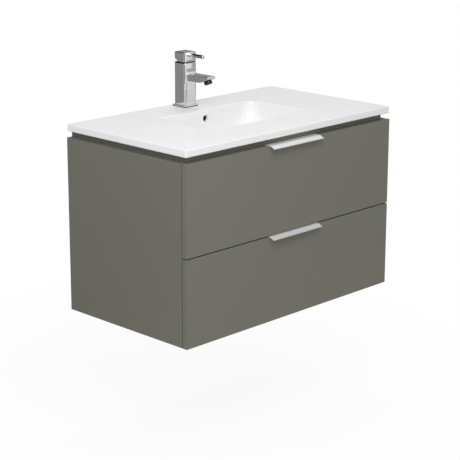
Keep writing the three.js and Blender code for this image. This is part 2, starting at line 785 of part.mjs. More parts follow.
function tapBody() {
  const half = tapWidth / 2;
  const columnFront = tapCentre - half;
  const column = easedBlock(about(0, half), about(tapCentre, half), [footTop, columnTop], tapRound, 2);
  const tipY = columnFront - spoutReach;
  const topZ = footTop + spoutTop;
  const bottomZ = topZ - spoutDepth;
  const spoutOutline = new THREE.Shape();
  spoutOutline.moveTo(columnFront + tapRound + 1, topZ);
  spoutOutline.lineTo(tipY, topZ);
  spoutOutline.lineTo(tipY, topZ - spoutTip);
  spoutOutline.lineTo(tipY + spoutSlant, bottomZ);
  spoutOutline.lineTo(columnFront - spoutFillet, bottomZ);
  spoutOutline.absarc(columnFront - spoutFillet, bottomZ - spoutFillet, spoutFillet, Math.PI / 2, 0, true);
  spoutOutline.lineTo(columnFront + tapRound + 1, bottomZ - spoutFillet);
  const spout = alongX(spoutOutline, [-spoutWidth / 2, spoutWidth / 2], 3);
  const shank = upright(shankRadius, [slabTop - deckThickness + 2, footTop + bite], [0, tapCentre]);
  const pocketHeights = [columnTop - cartridgeDepth, columnTop + bite];
  const pocket = upright(cartridgeRadius + clearance, pocketHeights, [0, tapCentre]);
  add('tap_body', cut(join(column, spout, shank), pocket), chrome());

  // The aerator hangs square to the slanted underside
  const slope = Math.atan2(spoutDepth - spoutTip, spoutSlant);
  const rim = aeratorRadius * 0.7;
  const aerator = turned([
    [0, -aeratorLength + 2],
    [rim, -aeratorLength + 2],
    [rim, -aeratorLength],
    [aeratorRadius - 0.5, -aeratorLength],
    [aeratorRadius, -aeratorLength + 1],
    [aeratorRadius, -clearance],
    [0, -clearance],
  ], [0, 0, 0], 20);
  const middle = spoutSlant / 2;
  const middleDrop = (spoutDepth - spoutTip) / 2;
  aerator.rotateX(-slope).translate(0, tipY + middle, topZ - spoutTip - middleDrop);
  add('tap_aerator', aerator, chrome());
}

function tapHead() {
  const half = tapWidth / 2;
  const [front, back] = [tapCentre - half, tapCentre + half];
  const top = headBottom + headHeight;
  const outline = outlineOf([
    [front, headBottom],
    [back - headHeelLength, headBottom],
    [back, headBottom + headHeelHeight],
    [back, top],
    [front, top],
  ]);
  const block = new THREE.ExtrudeGeometry(outline, {
    depth: tapWidth - 2 * edgeRound,
    bevelThickness: edgeRound,
    bevelSize: edgeRound,
    bevelOffset: -edgeRound,
    bevelSegments: 1,
  });
  block.applyMatrix4(new THREE.Matrix4().set(0, 0, 1, -half + edgeRound, 1, 0, 0, 0, 0, 1, 0, 0, 0, 0, 0, 1));
  const pocket = upright(headPocketRadius, [headBottom - bite, headBottom + headPocketDepth], [0, tapCentre]);
  add('tap_head', cut(block, pocket), chrome());

  const axis = headBottom + leverHeight;
  const lever = turned([
    [0, clearance],
    [leverCollarRadius, clearance],
    [leverCollarRadius, leverCollarLength],
    [leverRadius, leverCollarLength + 0.5],
    [leverRadius, leverLength - 1],
    [leverRadius - 1, leverLength],
    [0, leverLength],
  ], [0, 0, 0], 20);
  add('tap_lever', lever.rotateX(Math.PI / 2).translate(0, front, axis), chrome());
}

// Ceramic cartridge in the column, and the stem whose cross pin carries the head
function tapCartridge() {
  const base = columnTop - cartridgeDepth + clearance;
  add('tap_cartridge', turned([
    [0, base],
    [cartridgeRadius, base],
    [cartridgeRadius, columnTop - clearance],
    [cartridgeDomeRadius, columnTop - clearance],
    [cartridgeDomeRadius * 0.8, columnTop + 1.2],
    [cartridgeDomeRadius * 0.45, columnTop + 2],
    [0, columnTop + 2],
  ], [0, tapCentre, 0]), darkPlastic());
  const foot = columnTop + 2 + clearance;
  const pinHalf = headPocketRadius - 0.7;
  const stem = upright(stemRadius, [foot, foot + stemHeight], [0, tapCentre], 12);
  const pin = crosswise(pivotRadius, [-pinHalf, pinHalf], [tapCentre, pivotHeight]);
  add('tap_stem', join(stem, pin), brass());
}

function tapFixing() {
  const shankEnd = slabTop - deckThickness + 2;
  const washerTop = deckUnderside;
  const plateTop = washerTop - tapWasherThickness;
  const nutTop = plateTop - tapPlateSheet;
  add('tap_stud', upright(studRadius, [shankEnd - studLength, shankEnd], [0, tapCentre], 12), brass());
  const disc = (radius, z1, height, facets) => cut(
    upright(radius, [z1 - height, z1], [0, tapCentre], facets),
    upright(studRadius + clearance, [z1 - height - bite, z1 + bite], [0, tapCentre], 12),
  );
  add('tap_washer', disc(tapWasherRadius, washerTop, tapWasherThickness, 20), rubber());
  add('tap_clamp_plate', disc(tapWasherRadius - 1, plateTop, tapPlateSheet, 20), zincSteel());
  add('tap_nut', disc(tapNutRadius, nutTop, tapNutHeight, 6), brass());
}

// ---------------------------------------------------------------- assembly

sidePanels();
carcassBoards();
neck();
wallRail();
hangers();
runners(upperDrawer);
runners(lowerDrawer);
drawerFront(upperDrawer.name, [lowerFrontHeight + frontGap, carcassHeight]);
drawerFront(lowerDrawer.name, [0, lowerFrontHeight]);
handle(upperDrawer.name, carcassHeight);
handle(lowerDrawer.name, lowerFrontHeight);
upperDrawerBox();
lowerDrawerBox();
basin();
waste();
tapFoot();
tapBody();
tapHead();
tapCartridge();
tapFixing();

export default vanity;
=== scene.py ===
import json
import math

import bmesh
import bpy
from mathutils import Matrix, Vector


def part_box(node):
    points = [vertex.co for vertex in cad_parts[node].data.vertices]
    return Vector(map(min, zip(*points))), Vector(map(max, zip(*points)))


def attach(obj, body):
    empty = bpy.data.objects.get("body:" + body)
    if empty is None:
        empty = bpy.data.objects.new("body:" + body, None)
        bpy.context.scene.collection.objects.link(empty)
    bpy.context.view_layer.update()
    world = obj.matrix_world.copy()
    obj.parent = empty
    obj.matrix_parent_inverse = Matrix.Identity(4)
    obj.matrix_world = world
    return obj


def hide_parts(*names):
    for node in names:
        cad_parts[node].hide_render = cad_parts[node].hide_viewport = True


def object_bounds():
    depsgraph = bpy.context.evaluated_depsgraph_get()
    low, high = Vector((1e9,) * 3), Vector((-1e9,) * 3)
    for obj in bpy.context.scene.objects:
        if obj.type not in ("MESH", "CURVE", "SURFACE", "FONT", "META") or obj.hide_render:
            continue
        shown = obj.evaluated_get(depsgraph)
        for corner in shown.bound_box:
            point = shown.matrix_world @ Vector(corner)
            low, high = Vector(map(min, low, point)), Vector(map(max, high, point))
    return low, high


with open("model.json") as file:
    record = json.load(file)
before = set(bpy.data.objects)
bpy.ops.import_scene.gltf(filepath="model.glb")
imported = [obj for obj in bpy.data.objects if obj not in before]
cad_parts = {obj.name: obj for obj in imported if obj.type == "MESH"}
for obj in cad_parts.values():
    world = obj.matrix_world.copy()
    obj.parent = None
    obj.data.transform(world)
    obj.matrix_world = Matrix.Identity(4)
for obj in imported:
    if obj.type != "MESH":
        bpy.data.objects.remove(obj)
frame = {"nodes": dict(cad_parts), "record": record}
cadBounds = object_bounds()
scene = bpy.context.scene
scene.view_settings.view_transform = "Standard"
mm = 0.001  # the sizes of pieces are in millimetres, and the scene is in metres
print("frame loaded:", len(frame["nodes"]), "nodes")


# Shader building: a Wire is an output socket, and arithmetic on it adds Math nodes

class Wire:
    def __init__(self, finish, socket):
        self.finish = finish
        self.socket = socket

    def maths(self, operation, first, second):
        return self.finish.node("ShaderNodeMath", {"operation": operation}, {0: first, 1: second})

    def __add__(self, other):
        return self.maths("ADD", self, other)

    def __mul__(self, other):
        return self.maths("MULTIPLY", self, other)

    __radd__ = __add__
    __rmul__ = __mul__


class Finish:
    def __init__(self, owner):
        owner.use_nodes = True
        self.owner = owner
        self.tree = owner.node_tree
        self.tree.nodes.clear()

    def node(self, kind, settings=None, sockets=None, output=0):
        made = self.tree.nodes.new(kind)
        for key, value in (settings or {}).items():
            if key == "stops":
                for place, (position, level) in enumerate(value):
                    stops = made.color_ramp.elements
                    stop = stops[place] if place < len(stops) else stops.new(position)
                    stop.position = position
                    stop.color = (level, level, level, 1)
            else:
                setattr(made, key, value)
        for key, value in (sockets or {}).items():
            if isinstance(value, Wire):
                self.tree.links.new(value.socket, made.inputs[key])
            else:
                made.inputs[key].default_value = value
        return Wire(self, made.outputs[output]) if made.outputs else None

    def place(self, scale=(1, 1, 1)):
        coordinates = self.node("ShaderNodeTexCoord", output="Object")
        return self.node("ShaderNodeMapping", {}, {"Vector": coordinates, "Scale": scale})

    def noise(self, place, scale, detail=2.0):
        sockets = {"Vector": place, "Scale": scale, "Detail": detail}
        return self.node("ShaderNodeTexNoise", {}, sockets, "Fac")

    def between(self, share, low, high):  # a colour mixed from two
        return self.node("ShaderNodeMix", {"data_type": "RGBA"}, {0: share, 6: low, 7: high}, 2)

    def ramp(self, value, stops):
        return self.node("ShaderNodeValToRGB", {"stops": stops}, {"Fac": value})

    def bump(self, height, distance, strength=1.0):
        sockets = {"Height": height, "Distance": distance, "Strength": strength}
        return self.node("ShaderNodeBump", {}, sockets)

    def surface(self, sockets):
        shader = self.node("ShaderNodeBsdfPrincipled", {}, sockets)
        self.node("ShaderNodeOutputMaterial", {}, {"Surface": shader})
        return self.owner


def shade(color, factor=1.0):
    return (color[0] * factor, color[1] * factor, color[2] * factor, 1)


def along(span, share):  # from the first value of a span to its second
    return span[0] + share * (span[1] - span[0])


# Finishes

paintLook = {
    "color": (0.165, 0.164, 0.134), "cloud": 0.02, "cloudScale": 2.2,
    "roughness": (0.46, 0.54), "peel": 0.000012, "peelScale": 620.0, "specular": 0.4,
}


def makePaint():
    paint = Finish(bpy.data.materials.new("matt paint"))
    place = paint.place()
    cloud = paint.noise(place, paintLook["cloudScale"], 3.0)
    peel = paint.noise(place, paintLook["peelScale"])
    color = paintLook["color"]
    low = shade(color, 1 - paintLook["cloud"])
    high = shade(color, 1 + paintLook["cloud"])
    return paint.surface({
        "Base Color": paint.between(cloud, low, high),
        "Roughness": along(paintLook["roughness"], peel),
        "Specular IOR Level": paintLook["specular"],
        "Normal": paint.bump(peel, paintLook["peel"]),
    })


ceramicLook = {
    "color": (0.885, 0.885, 0.88), "speck": 0.01, "speckScale": 5.0,
    "wave": 0.00025, "waveScale": 14.0, "waveStrength": 0.6,
    "roughness": (0.4, 0.5), "specular": 0.03,
    "glaze": (0.22, 0.30), "glazeRoughness": 0.04, "glazeIor": 1.52,
}


def makeCeramic():
    ceramic = Finish(bpy.data.materials.new("white ceramic"))
    place = ceramic.place()
    body = ceramic.noise(place, ceramicLook["speckScale"])
    wave = ceramic.noise(place, ceramicLook["waveScale"], 1.0)
    color = ceramicLook["color"]
    return ceramic.surface({
        "Base Color": ceramic.between(body, shade(color, 1 - ceramicLook["speck"]), shade(color)),
        "Roughness": along(ceramicLook["roughness"], body),
        "Specular IOR Level": ceramicLook["specular"],
        "Coat Weight": along(ceramicLook["glaze"], body),
        "Coat Roughness": ceramicLook["glazeRoughness"],
        "Coat IOR": ceramicLook["glazeIor"],
        "Normal": ceramic.bump(wave, ceramicLook["wave"], ceramicLook["waveStrength"]),
    })


metalLook = {
    "chrome": {"color": (0.70, 0.71, 0.72), "roughness": (0.03, 0.06), "grain": 60.0},
    "satin aluminium": {  # part lacquer, brushed along its length
        "color": (0.84, 0.84, 0.84), "roughness": (0.34, 0.44), "grain": 1.0,
        "stretch": (25, 1800, 1800), "metallic": 0.5,
    },
    "brass": {"color": (0.60, 0.43, 0.18), "roughness": (0.25, 0.4), "grain": 300.0},
}
metalMarks = {"shade": 0.94, "depth": 0.000004}


def makeMetal(name):
    look = metalLook[name]
    metal = Finish(bpy.data.materials.new(name))
    marks = metal.noise(metal.place(look.get("stretch", (1, 1, 1))), look["grain"], 3.0)
    color = look["color"]
    return metal.surface({
        "Base Color": metal.between(marks, shade(color, metalMarks["shade"]), shade(color)),
        "Metallic": look.get("metallic", 1.0),
        "Roughness": along(look["roughness"], marks),
        "Normal": metal.bump(marks, metalMarks["depth"]),
    })


zincLook = {
    "dark": (0.50, 0.51, 0.52), "light": (0.58, 0.59, 0.60),
    "roughness": (0.30, 0.40), "spangle": 420.0, "depth": 0.00002,
}


def makeZinc():
    zinc = Finish(bpy.data.materials.new("zinc steel"))
    cells = {"Vector": zinc.place(), "Scale": zincLook["spangle"]}
    spangle = zinc.node("ShaderNodeTexVoronoi", {}, cells, "Color")
    tone = zinc.node("ShaderNodeRGBToBW", {}, {"Color": spangle})
    return zinc.surface({
        "Base Color": zinc.between(tone, shade(zincLook["dark"]), shade(zincLook["light"])),
        "Metallic": 1.0,
        "Roughness": along(zincLook["roughness"], tone),
        "Normal": zinc.bump(tone, zincLook["depth"]),
    })


melamineLook = {
    "dark": (0.55, 0.54, 0.51), "light": (0.60, 0.59, 0.56),
    "fleck": 330.0, "fleckStops": [(0.4, 0.0), (0.7, 1.0)],
    "roughness": (0.42, 0.54), "pearl": 1400.0, "depth": 0.00003,
}


def makeMelamine():
    melamine = Finish(bpy.data.materials.new("melamine"))
    place = melamine.place()
    pearl = melamine.noise(place, melamineLook["pearl"])
    fleck = melamine.ramp(melamine.noise(place, melamineLook["fleck"], 3.0), melamineLook["fleckStops"])
    return melamine.surface({
        "Base Color": melamine.between(fleck, shade(melamineLook["dark"]), shade(melamineLook["light"])),
        "Roughness": along(melamineLook["roughness"], pearl),
        "Normal": melamine.bump(pearl, melamineLook["depth"]),
    })


mouldedLook = {
    "dark plastic": {
        "level": 0.022, "specular": 0.25, "roughness": (0.26, 0.36), "grain": 900.0, "depth": 0.00003,
    },
    "rubber": {
        "level": 0.012, "specular": 0.15, "roughness": (0.7, 0.8), "grain": 500.0, "depth": 0.00004,
    },
}
mouldedShades = (0.9, 1.1)


def makeMoulded(name):
    look = mouldedLook[name]
    moulded = Finish(bpy.data.materials.new(name))
    texture = moulded.noise(moulded.place(), look["grain"], 3.0)
    grey = (look["level"],) * 3
    low, high = (shade(grey, factor) for factor in mouldedShades)
    return moulded.surface({
        "Base Color": moulded.between(texture, low, high),
        "Roughness": along(look["roughness"], texture),
        "Specular IOR Level": look["specular"],
        "Normal": moulded.bump(texture, look["depth"]),
    })


finishes = {
    "matt_paint": makePaint(),
    "white_ceramic": makeCeramic(),
    "chrome": makeMetal("chrome"),
    "satin_aluminium": makeMetal("satin aluminium"),
    "zinc_steel": makeZinc(),
    "brass": makeMetal("brass"),
    "melamine": makeMelamine(),
    "dark_plastic": makeMoulded("dark plastic"),
    "rubber": makeMoulded("rubber"),
}
slotOf = {part["node"]: part["material_slot"] for part in frame["record"]["subparts"]}
for name, node in frame["nodes"].items():
    node.material_slots[0].material = finishes[slotOf[name]]
print("finishes:", len(finishes))


# Modelling helpers

def selectOnly(piece):
    bpy.ops.object.select_all(action="DESELECT")
    piece.select_set(True)
    bpy.context.view_layer.objects.active = piece


def placed(name):  # the new primitive, with its place moved into its mesh
    piece = bpy.context.object
    piece.name = name
    piece.data.name = name
    bpy.ops.object.transform_apply(location=True, rotation=True, scale=True)
    return piece


mergeDistance = 0.000002
tiny = 0.0001  # metres within which two places are the same


def newBlock(name, low, high):
    low, high = Vector(low), Vector(high)
    bpy.ops.object.select_all(action="DESELECT")
    bpy.ops.mesh.primitive_cube_add(size=1, location=(low + high) / 2, scale=high - low)
    return placed(name)


def editPiece(piece):
    selectOnly(piece)
    bpy.ops.object.mode_set(mode="EDIT")


def leaveEdit():
    bpy.ops.object.mode_set(mode="OBJECT")


def pick(piece, kind, test):  # in edit mode: selects what passes the test
    bpy.ops.mesh.select_mode(type=kind)
    bpy.ops.mesh.select_all(action="DESELECT")
    shape = bmesh.from_edit_mesh(piece.data)
    parts = {"VERT": shape.verts, "EDGE": shape.edges, "FACE": shape.faces}[kind]
    for part in parts:
        if test(part):
            part.select_set(True)
    shape.select_flush_mode()
    bmesh.update_edit_mesh(piece.data)


def anyEdge(edge):
    return True


def upright(edge):  # straight above or below each other
    first, second = edge.verts
    return first.co.xy == second.co.xy


def above(height):
    return lambda edge: min(vert.co.z for vert in edge.verts) > height


def roundEdges(piece, width, segments=3, test=anyEdge):
    editPiece(piece)
    pick(piece, "EDGE", test)
    bpy.ops.mesh.bevel(offset=width, segments=segments, profile=0.5, affect="EDGES")
    leaveEdit()


def boolean(piece, other, operation):
    selectOnly(piece)
    change = piece.modifiers.new("cut", "BOOLEAN")
    change.operation = operation
    change.solver = "EXACT"
    change.object = other
    bpy.ops.object.modifier_apply(modifier=change.name)
    bpy.data.objects.remove(other, do_unlink=True)


def sliceOff(piece, place, facing):  # cuts away what lies on the side that is faced
    editPiece(piece)
    bpy.ops.mesh.select_all(action="SELECT")
    normal = Vector(facing).normalized()
    bpy.ops.mesh.bisect(plane_co=place, plane_no=normal, clear_outer=True, use_fill=True)
    leaveEdit()


def outwards(piece):
    editPiece(piece)
    bpy.ops.mesh.select_all(action="SELECT")
    bpy.ops.mesh.remove_doubles(threshold=mergeDistance)
    bpy.ops.mesh.normals_make_consistent(inside=False)
    leaveEdit()


rebuilt = set()  # the CAD nodes that have a piece of their own


def finishPiece(piece, slot, body, nodes=(), angle=40):
    selectOnly(piece)
    bpy.ops.object.shade_smooth_by_angle(angle=math.radians(angle))
    weights = piece.modifiers.new("weights", "WEIGHTED_NORMAL")
    weights.keep_sharp = True
    bpy.ops.object.modifier_apply(modifier=weights.name)
    piece.data.materials.clear()
    piece.data.materials.append(finishes[slot])
    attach(piece, body)
    if nodes:
        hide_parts(*nodes)
        rebuilt.update(nodes)


def turnedPiece(name, profile, centre=(0, 0, 0), points=48):
    # radius and height pairs in millimetres, extruded and scaled one after another
    radius, height = profile[0]
    centre = Vector(centre)
    start = centre + Vector((0, 0, height * mm))
    bpy.ops.object.select_all(action="DESELECT")
    bpy.ops.mesh.primitive_circle_add(vertices=points, radius=radius * mm, fill_type="NGON", location=start)
    piece = placed(name)
    editPiece(piece)
    bpy.ops.mesh.select_all(action="SELECT")
    for radiusNext, heightNext in profile[1:]:
        rise = (0, 0, (heightNext - height) * mm)
        bpy.ops.mesh.extrude_region_move(TRANSFORM_OT_translate={"value": rise})
        grow = radiusNext / radius
        bpy.ops.transform.resize(value=(grow, grow, 1), center_override=centre)
        radius, height = radiusNext, heightNext
    leaveEdit()
    outwards(piece)
    return piece


def turnAndPlace(piece, turn, place):  # moves the mesh itself, and leaves the object at the origin
    selectOnly(piece)
    piece.rotation_euler = turn
    piece.location = place
    bpy.ops.object.transform_apply(location=True, rotation=True, scale=True)


def bevelCorners(piece, width, angle):  # rounds every edge sharper than the angle
    edges = piece.modifiers.new("edges", "BEVEL")
    edges.width = width
    edges.segments = 2
    edges.limit_method = "ANGLE"
    edges.angle_limit = math.radians(angle)
    bpy.ops.object.modifier_apply(modifier=edges.name)


# Painted boards: drawer fronts, side panels and the recessed neck

drawers = ("drawer_upper", "drawer_lower")
sides = (("left", -1), ("right", 1))
boardSize = {"ease": 1.0, "neckEase": 0.5}


def easedBoard(node, body, ease, test=anyEdge):
    low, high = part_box(node)
    piece = newBlock("eased_" + node, low, high)
    roundEdges(piece, ease * mm, 3, test)
    finishPiece(piece, "matt_paint", body, [node])


def onOutside(edge):  # the edges round a side panel's outer face
    return all(abs(abs(vert.co.x) - cadBounds[1].x) < tiny for vert in edge.verts)


def offFloor(edge):  # all of a neck strip's edges but those it stands on
    return max(vert.co.z for vert in edge.verts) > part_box("neck_front")[0].z + 1 * mm


for drawer in drawers:
    easedBoard(drawer + "_front", drawer, boardSize["ease"])
for node in ("side_panel_left", "side_panel_right"):
    easedBoard(node, "cabinet", boardSize["ease"], onOutside)
for node in ("neck_front", "neck_left", "neck_right"):
    easedBoard(node, "cabinet", boardSize["neckEase"], offFloor)
print("boards eased")


# Pulls: one strip folded over the front's top edge, with an ogee down to the lip

pullSize = {
    "sheet": 1.5, "flange": 15, "board": 16, "reach": 18.45, "drop": 6.5,
    "bend": 1.6, "bendSteps": 4, "curveSteps": 14, "edge": 0.35,
}


def ogee(share):  # height of the S between plate and lip, from 1 down to 0
    return (1 + math.cos(math.pi * share)) / 2


def quarter(steps):  # the angles of a quarter turn
    return [step / steps * math.pi / 2 for step in range(steps + 1)]


def pullProfile():
    # middle line of the sheet: distance behind the front's face, height over its top edge
    half = pullSize["sheet"] / 2
    bend = pullSize["bend"]
    rear = pullSize["board"] + half
    points = [(rear, -pullSize["flange"])]
    for turn in quarter(pullSize["bendSteps"]):
        points.append((rear - bend + bend * math.cos(turn), half - bend + bend * math.sin(turn)))
    points.append((0, half))
    lip = half - pullSize["drop"]
    for step in range(1, pullSize["curveSteps"] + 1):
        share = step / pullSize["curveSteps"]
        points.append((-pullSize["reach"] * share, lip + pullSize["drop"] * ogee(share)))
    return points


def addPull(drawer):
    low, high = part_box(drawer + "_handle")
    frontLow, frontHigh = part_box(drawer + "_front")
    (startY, startZ), *rest = [(frontLow.y + back * mm, frontHigh.z + up * mm) for back, up in pullProfile()]
    length = high.x - low.x
    bpy.ops.object.select_all(action="DESELECT")
    bpy.ops.mesh.primitive_plane_add(size=length, location=(0, startY + length / 2, startZ))
    piece = placed("pull_" + drawer)
    editPiece(piece)
    pick(piece, "VERT", lambda vert: vert.co.y > startY + length / 2)
    bpy.ops.mesh.delete(type="VERT")
    pick(piece, "EDGE", anyEdge)
    for nextY, nextZ in rest:
        step = (0, nextY - startY, nextZ - startZ)
        bpy.ops.mesh.extrude_region_move(TRANSFORM_OT_translate={"value": step})
        startY, startZ = nextY, nextZ
    leaveEdit()
    selectOnly(piece)
    sheet = piece.modifiers.new("sheet", "SOLIDIFY")
    sheet.thickness = pullSize["sheet"] * mm
    sheet.offset = 0
    sheet.use_even_offset = True
    bpy.ops.object.modifier_apply(modifier=sheet.name)
    bevelCorners(piece, pullSize["edge"] * mm, 50)
    outwards(piece)
    finishPiece(piece, "satin_aluminium", drawer, [drawer + "_handle"])


for drawer in drawers:
    addPull(drawer)
print("pulls folded")


# Basin: level outlines, each extruded from the one before, from the waste hole up the bowl,
# over the deck, round the slab and back under the bowl to the waste hole

basinSize = {
    "round": 3, "slabCorner": 4.5, "deck": 12.5, "slab": 19.5,
    "band": 45, "rearBand": 15, "bandCorner": 12, "underEase": 2,
    "bowlWidth": 372, "bowlFront": 125, "bowlRear": 120, "bowlDepth": 115,
    "corner": 30, "cornerGrowth": 0.7, "lipGrowth": 0.5, "lip": 4, "draft": 3, "fall": 3,
    "wall": 8, "wallRoot": 4,
    "curveWidth": 56, "curveHeight": 98,
    "hole": 22.5, "holeEase": 1, "seat": 34, "seatEase": (3, 0.3),
    "boss": 37, "bossDepth": 24, "bossEdge": 2, "bossRoot": (5, 3),
    "cornerSteps": 10, "lipSteps": 6, "curveSteps": 16, "roundSteps": 4,
    "overflow": 9.5, "overflowDrop": 25, "overflowEdge": 1.2, "overflowReach": 12,
    "ductWidth": 30, "ductThickness": 10, "ductWall": 6, "casingReach": 30, "casingEdge": 3,
    "tapHole": 17.5, "tapHoleSpan": (-30, 10),
}


def bowlOutline(inset, height):
    # half width, half length, corner radius, height from the deck's top, middle; all in millimetres
    size = basinSize
    halfX = size["bowlWidth"] / 2 - inset
    halfY = bowlLength / 2 - inset
    corner = size["corner"] - min(inset, 0) * size["lipGrowth"]
    corner += size["cornerGrowth"] * max(-height - size["deck"], 0)
    return (halfX, halfY, min(corner, halfY - 1), height, bowlMiddle)


def bowlCurve(turn, out):  # wall and floor in one sweep, out from the inner face
    size = basinSize
    inset = size["draft"] + size["curveWidth"] * (1 - math.sin(turn)) - out
    return bowlOutline(inset, -size["bowlDepth"] + size["curveHeight"] * (1 - math.cos(turn)) - out)


basinLow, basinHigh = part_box("basin")
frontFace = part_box("drawer_upper_front")[0].y
bowlLength = (basinHigh.y - frontFace) / mm - basinSize["bowlFront"] - basinSize["bowlRear"]
bowlMiddle = frontFace / mm + basinSize["bowlFront"] + bowlLength / 2
slabFront = basinLow.y / mm
slabHalf = basinHigh.x / mm
floorDrop = basinSize["bowlDepth"] + basinSize["fall"]


def basinOutlines():
    size = basinSize
    outlines = []

    def circle(radius, height):  # its corners stop just short of meeting
        outlines.append((radius, radius, radius - 0.3, height, bowlMiddle))

    def slab(inset, height):
        halfLength = -slabFront / 2 - inset
        outlines.append((slabHalf - inset, halfLength, size["slabCorner"] - inset, height, slabFront / 2))

    bossBottom = -floorDrop - size["bossDepth"]
    circle(size["hole"], bossBottom)
    circle(size["hole"], -floorDrop - size["holeEase"])
    circle(size["hole"] + size["holeEase"], -floorDrop)
    circle(size["seat"], -floorDrop)
    seatGrow, seatRise = size["seatEase"]
    circle(size["seat"] + seatGrow, -floorDrop + seatRise)
    for turn in quarter(size["curveSteps"]):  # floor to wall
        outlines.append(bowlCurve(turn, 0))
    lip, edge = size["lip"], size["round"]
    for turn in reversed(quarter(size["lipSteps"])):  # wall to deck
        outlines.append(bowlOutline(-lip * (1 - math.sin(turn)), -lip * (1 - math.cos(turn))))
    for turn in quarter(size["roundSteps"]):  # deck to the slab's side
        slab(edge * (1 - math.sin(turn)), -edge * (1 - math.cos(turn)))
    for turn in quarter(size["roundSteps"]):  # side to the slab's underside
        slab(edge * (1 - math.cos(turn)), -size["slab"] + edge * (1 - math.sin(turn)))
    bandLength = -slabFront - size["band"] - size["rearBand"]
    bandMiddle = slabFront + size["band"] + bandLength / 2
    ease, slabUnder, deckUnder = size["underEase"], -size["slab"], -size["deck"]
    hollow = ((ease, slabUnder), (0, slabUnder + ease), (0, deckUnder - ease), (-ease, deckUnder))
    for grow, height in hollow:  # up into the hollow under the deck
        halves = (slabHalf - size["band"] + grow, bandLength / 2 + grow)
        outlines.append((*halves, size["bandCorner"], height, bandMiddle))
    outlines.append(bowlOutline(-size["wall"] - size["wallRoot"], deckUnder))
    outlines.append(bowlOutline(-size["wall"], deckUnder - size["wallRoot"]))
    for turn in reversed(quarter(size["curveSteps"])):  # outside of the bowl
        outlines.append(bowlCurve(turn, size["wall"]))
    rootGrow, rootDrop = size["bossRoot"]
    circle(size["boss"] + rootGrow, -floorDrop - size["wall"])
    circle(size["boss"], -floorDrop - size["wall"] - rootDrop)
    circle(size["boss"], bossBottom + size["bossEdge"])
    circle(size["boss"] - size["bossEdge"], bossBottom)
    return outlines


def pickOutline(piece, number):
    tag = bmesh.from_edit_mesh(piece.data).verts.layers.int["outline"]
    pick(piece, "EDGE", lambda edge: all(vert[tag] == number for vert in edge.verts))


def cornerAt(outline, signX, signY):
    halfX, halfY, corner, height, centre = outline
    x = signX * (halfX - corner)
    y = centre + signY * (halfY - corner)
    return Vector((x * mm, y * mm, basinHigh.z + height * mm))


def firstOutline(name, outline):  # starts square, whatever the outline's length
    halfX, _, corner, height, centre = outline
    place = (0, centre * mm, basinHigh.z + height * mm)
    bpy.ops.object.select_all(action="DESELECT")
    bpy.ops.mesh.primitive_plane_add(size=2 * halfX * mm, location=place)
    piece = placed(name)
    editPiece(piece)
    bpy.ops.mesh.select_all(action="SELECT")
    bpy.ops.mesh.bevel(offset=corner * mm, segments=basinSize["cornerSteps"], profile=0.5, affect="VERTICES")
    bpy.ops.mesh.delete(type="ONLY_FACE")
    shape = bmesh.from_edit_mesh(piece.data)
    tag = shape.verts.layers.int.new("outline")
    for vert in shape.verts:
        vert[tag] = 1
    bmesh.update_edit_mesh(piece.data)
    return piece


def nextOutline(piece, number, old, new):
    # extrudes the last outline, then scales and moves each corner to its new place
    pickOutline(piece, number - 1)
    rise = (0, 0, (new[3] - old[3]) * mm)
    bpy.ops.mesh.extrude_region_move(TRANSFORM_OT_translate={"value": rise})
    shape = bmesh.from_edit_mesh(piece.data)
    tag = shape.verts.layers.int["outline"]
    corners = {}
    for vert in shape.verts:
        if vert.select:
            vert[tag] = number
            signs = (1 if vert.co.x > 0 else -1, 1 if vert.co.y > old[4] * mm else -1)
            corners.setdefault(signs, set()).add(vert.index)
    bmesh.update_edit_mesh(piece.data)
    grow = new[2] / old[2]
    for (signX, signY), members in corners.items():
        start, end = cornerAt(old, signX, signY), cornerAt(new, signX, signY)
        start.z = end.z
        pick(piece, "VERT", lambda vert: vert.index in members)
        bpy.ops.transform.resize(value=(grow, grow, 1), center_override=start)
        bpy.ops.transform.translate(value=end - start)


def loft(name, outlines, close):  # closed as a ring, or by a face at both ends
    piece = firstOutline(name, outlines[0])
    for number in range(2, len(outlines) + 1):
        nextOutline(piece, number, outlines[number - 2], outlines[number - 1])
    tag = bmesh.from_edit_mesh(piece.data).verts.layers.int["outline"]
    ends = ({1}, {len(outlines)})
    if close == "ring":
        pick(piece, "EDGE", lambda edge: {vert[tag] for vert in edge.verts} in ends)
        bpy.ops.mesh.bridge_edge_loops()
    else:
        for number in (1, len(outlines)):
            pickOutline(piece, number)
            bpy.ops.mesh.edge_face_add()
    leaveEdit()
    outwards(piece)
    return piece


def bowlHollow():  # as wide as the bowl to the middle of its wall, and longer, past the duct's casing
    size = basinSize
    half = size["wall"] / 2
    outlines = [bowlCurve(turn, half) for turn in quarter(size["curveSteps"])]
    outlines.append(bowlOutline(-half, -size["lip"] - 1))
    return loft("hollow", outlines, "ends")


def rodAlong(name, radius, start, end, points=48):  # a cutter from one point to another
    start, end = Vector(start), Vector(end)
    turn = Vector((0, 0, 1)).rotation_difference(end - start).to_euler()
    bpy.ops.object.select_all(action="DESELECT")
    bpy.ops.mesh.primitive_cylinder_add(
        vertices=points, radius=radius, depth=(end - start).length,
        location=(start + end) / 2, rotation=turn)
    return placed(name)


